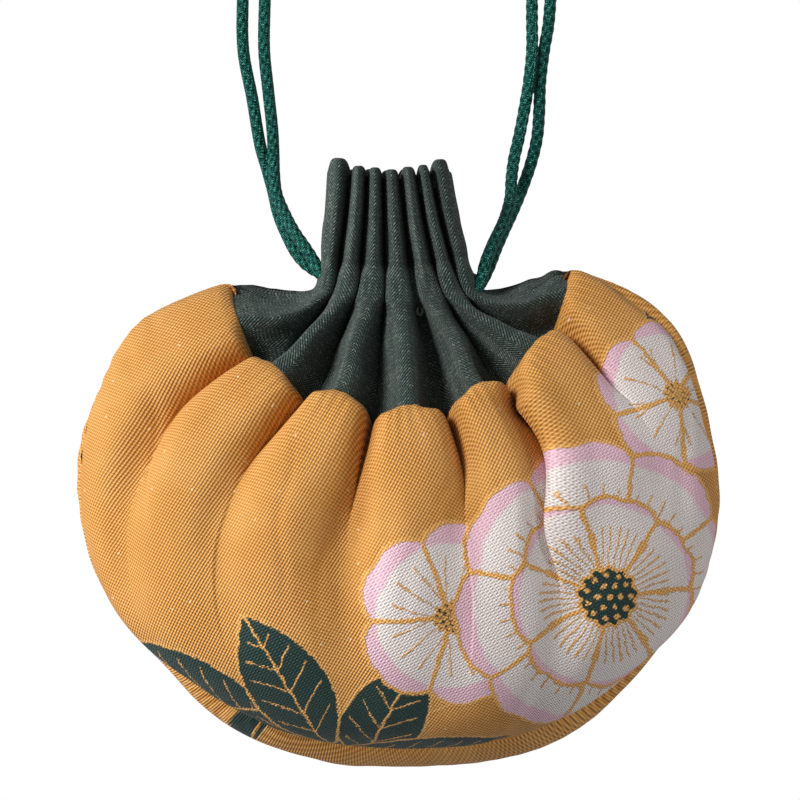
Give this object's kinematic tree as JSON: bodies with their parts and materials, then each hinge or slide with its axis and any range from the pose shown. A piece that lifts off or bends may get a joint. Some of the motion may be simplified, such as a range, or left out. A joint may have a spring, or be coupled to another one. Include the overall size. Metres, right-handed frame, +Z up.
{
  "type": "scented sachet pouch",
  "caption": "Plump brocade drawstring sachet lying on its back, with a pleated twill cuff, two satin drawcords and a scented filling.",
  "frame": {"origin": "on the table, under the middle of the pouch's box without its cords", "axes": "+Z up from the table, out of the front panel; +Y from the bottom seam towards the neck and the cords; +X across the pouch, to the right seen from the front"},
  "size_m": [0.0998, 0.1812, 0.0361],
  "materials": {
    "body_brocade": "amber jacquard brocade with a woven floral pattern",
    "cuff_twill": "matt dark green twill",
    "cord_satin": "braided satin cord, teal green with a sheen",
    "filling_wadding": "off-white wadding round dried herbs"
  },
  "bodies": {
    "root": {"neck_cuff": "cuff_twill", "front_panel": "body_brocade", "back_panel": "body_brocade", "scent_filling": "filling_wadding", "drawcord_left": "cord_satin", "drawcord_right": "cord_satin", "knot_left": "cord_satin", "knot_right": "cord_satin"}
  },
  "joints": []
}
